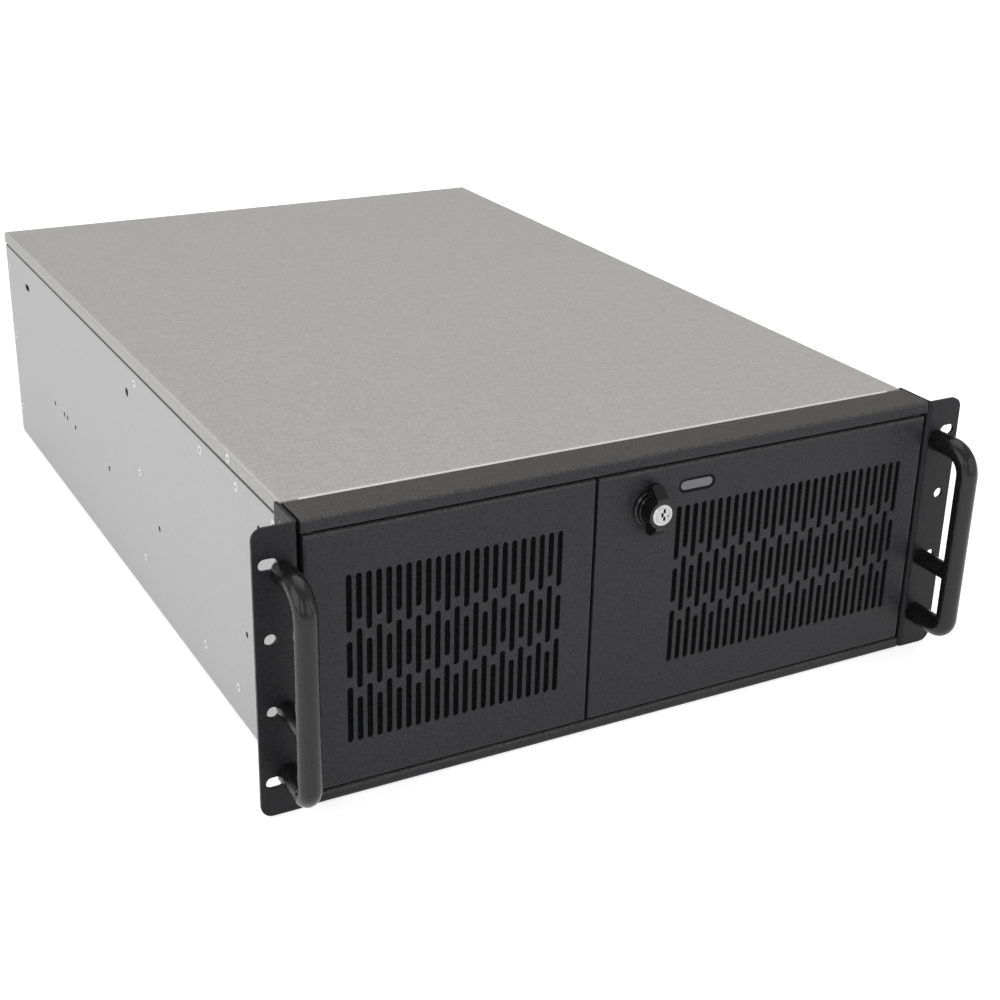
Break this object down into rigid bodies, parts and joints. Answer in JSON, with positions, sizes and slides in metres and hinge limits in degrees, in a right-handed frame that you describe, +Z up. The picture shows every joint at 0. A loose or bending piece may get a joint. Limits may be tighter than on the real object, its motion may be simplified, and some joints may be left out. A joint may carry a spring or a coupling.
{
  "type": "rackmount server case",
  "caption": "Empty rackmount computer case with ears, tube handles, lockable vented doors, drive cage, intake fans and a screwed top cover.",
  "frame": {"origin": "middle of the footprint, on the plane the case stands on", "axes": "+X to the right seen from the front, +Y from the front doors to the rear panel, +Z up"},
  "size_m": [0.4826, 0.6897, 0.177],
  "materials": {
    "cover_sheet": "fine grained grey powder coat",
    "body_sheet": "light grey powder coat",
    "black_sheet": "black powder coat with a fine texture",
    "handle_coat": "satin black",
    "zinc": "bright zinc plate",
    "black_screw": "black oxide",
    "lock_metal": "satin nickel",
    "lock_black": "satin black with worn bright edges",
    "black_plastic": "matt moulded",
    "button_plastic": "smooth",
    "lens_plastic": "clouded grey",
    "led": "clouded",
    "foam": "open cell foam",
    "circuit_board": "green solder mask",
    "brass": "turned",
    "magnet": "nickel plate"
  },
  "bodies": {
    "chassis": {"chassis_tray": "body_sheet", "rear_panel": "body_sheet", "top_cover": "cover_sheet", "cover_hooks": "zinc", "cover_screws": "zinc", "side_rivets": "body_sheet", "front_panel": "black_sheet", "center_post": "black_sheet", "catch_magnets": "magnet", "right_ear": "black_sheet", "left_ear": "black_sheet", "ear_screws": "black_screw", "right_handle": "handle_coat", "left_handle": "handle_coat", "handle_screws": "black_screw", "hinge_pins": "zinc", "hinge_washers": "black_plastic", "drive_cage": "zinc", "bay_cover_1": "black_plastic", "bay_cover_2": "black_plastic", "bay_cover_3": "black_plastic", "fan_screws": "black_screw", "left_fan_frame": "black_plastic", "right_fan_frame": "black_plastic", "control_board": "circuit_board", "board_spacers": "brass", "status_leds": "led", "usb_sockets": "zinc", "switch_bodies": "black_plastic", "right_brace": "zinc", "left_brace": "zinc", "hold_down_bar": "zinc", "bar_screws": "zinc", "slot_covers": "zinc", "slot_screws": "zinc", "board_standoffs": "brass"},
    "left_door": {"left_door": "black_sheet", "left_filter": "foam", "left_filter_frame": "black_sheet"},
    "right_door": {"right_door": "black_sheet", "right_filter": "foam", "right_filter_frame": "black_sheet", "window_bezel": "black_plastic", "indicator_lens": "lens_plastic", "lock_barrel": "lock_black", "lock_nut": "zinc"},
    "lock_knob": {"lock_knob": "lock_black", "lock_cam": "zinc", "cam_screw": "zinc"},
    "lock_plug": {"lock_plug": "lock_metal"},
    "power_button": {"power_button": "button_plastic"},
    "reset_button": {"reset_button": "button_plastic"},
    "left_fan_rotor": {"left_fan_rotor": "black_plastic"},
    "right_fan_rotor": {"right_fan_rotor": "black_plastic"}
  },
  "joints": [
    {"name": "left_door_hinge", "type": "hinge", "parent": "chassis", "child": "left_door", "pos_m": [-0.208, -0.30195, 0.0885], "axis": [0, 0, 1], "range_deg": [-95, 0]},
    {"name": "right_door_hinge", "type": "hinge", "parent": "chassis", "child": "right_door", "pos_m": [0.208, -0.30195, 0.0885], "axis": [0, 0, 1], "range_deg": [0, 95]},
    {"name": "lock_turn", "type": "hinge", "parent": "right_door", "child": "lock_knob", "pos_m": [0.0055, -0.30715, 0.1435], "axis": [0, 1, 0], "range_deg": [0, 90]},
    {"name": "key_turn", "type": "hinge", "parent": "lock_knob", "child": "lock_plug", "pos_m": [0.0055, -0.31715, 0.1435], "axis": [0, 1, 0], "range_deg": [0, 90]},
    {"name": "power_press", "type": "slide", "parent": "chassis", "child": "power_button", "axis": [0, 1, 0], "range_m": [0, 0.0015], "stiffness_N_per_m": 600, "springref_m": -0.001},
    {"name": "reset_press", "type": "slide", "parent": "chassis", "child": "reset_button", "axis": [0, 1, 0], "range_m": [0, 0.0015], "stiffness_N_per_m": 600, "springref_m": -0.001},
    {"name": "left_fan_spin", "type": "hinge", "parent": "chassis", "child": "left_fan_rotor", "pos_m": [0.0686, -0.26715, 0.0875], "axis": [0, 1, 0], "continuous": true},
    {"name": "right_fan_spin", "type": "hinge", "parent": "chassis", "child": "right_fan_rotor", "pos_m": [0.1526, -0.26715, 0.0875], "axis": [0, 1, 0], "continuous": true}
  ]
}
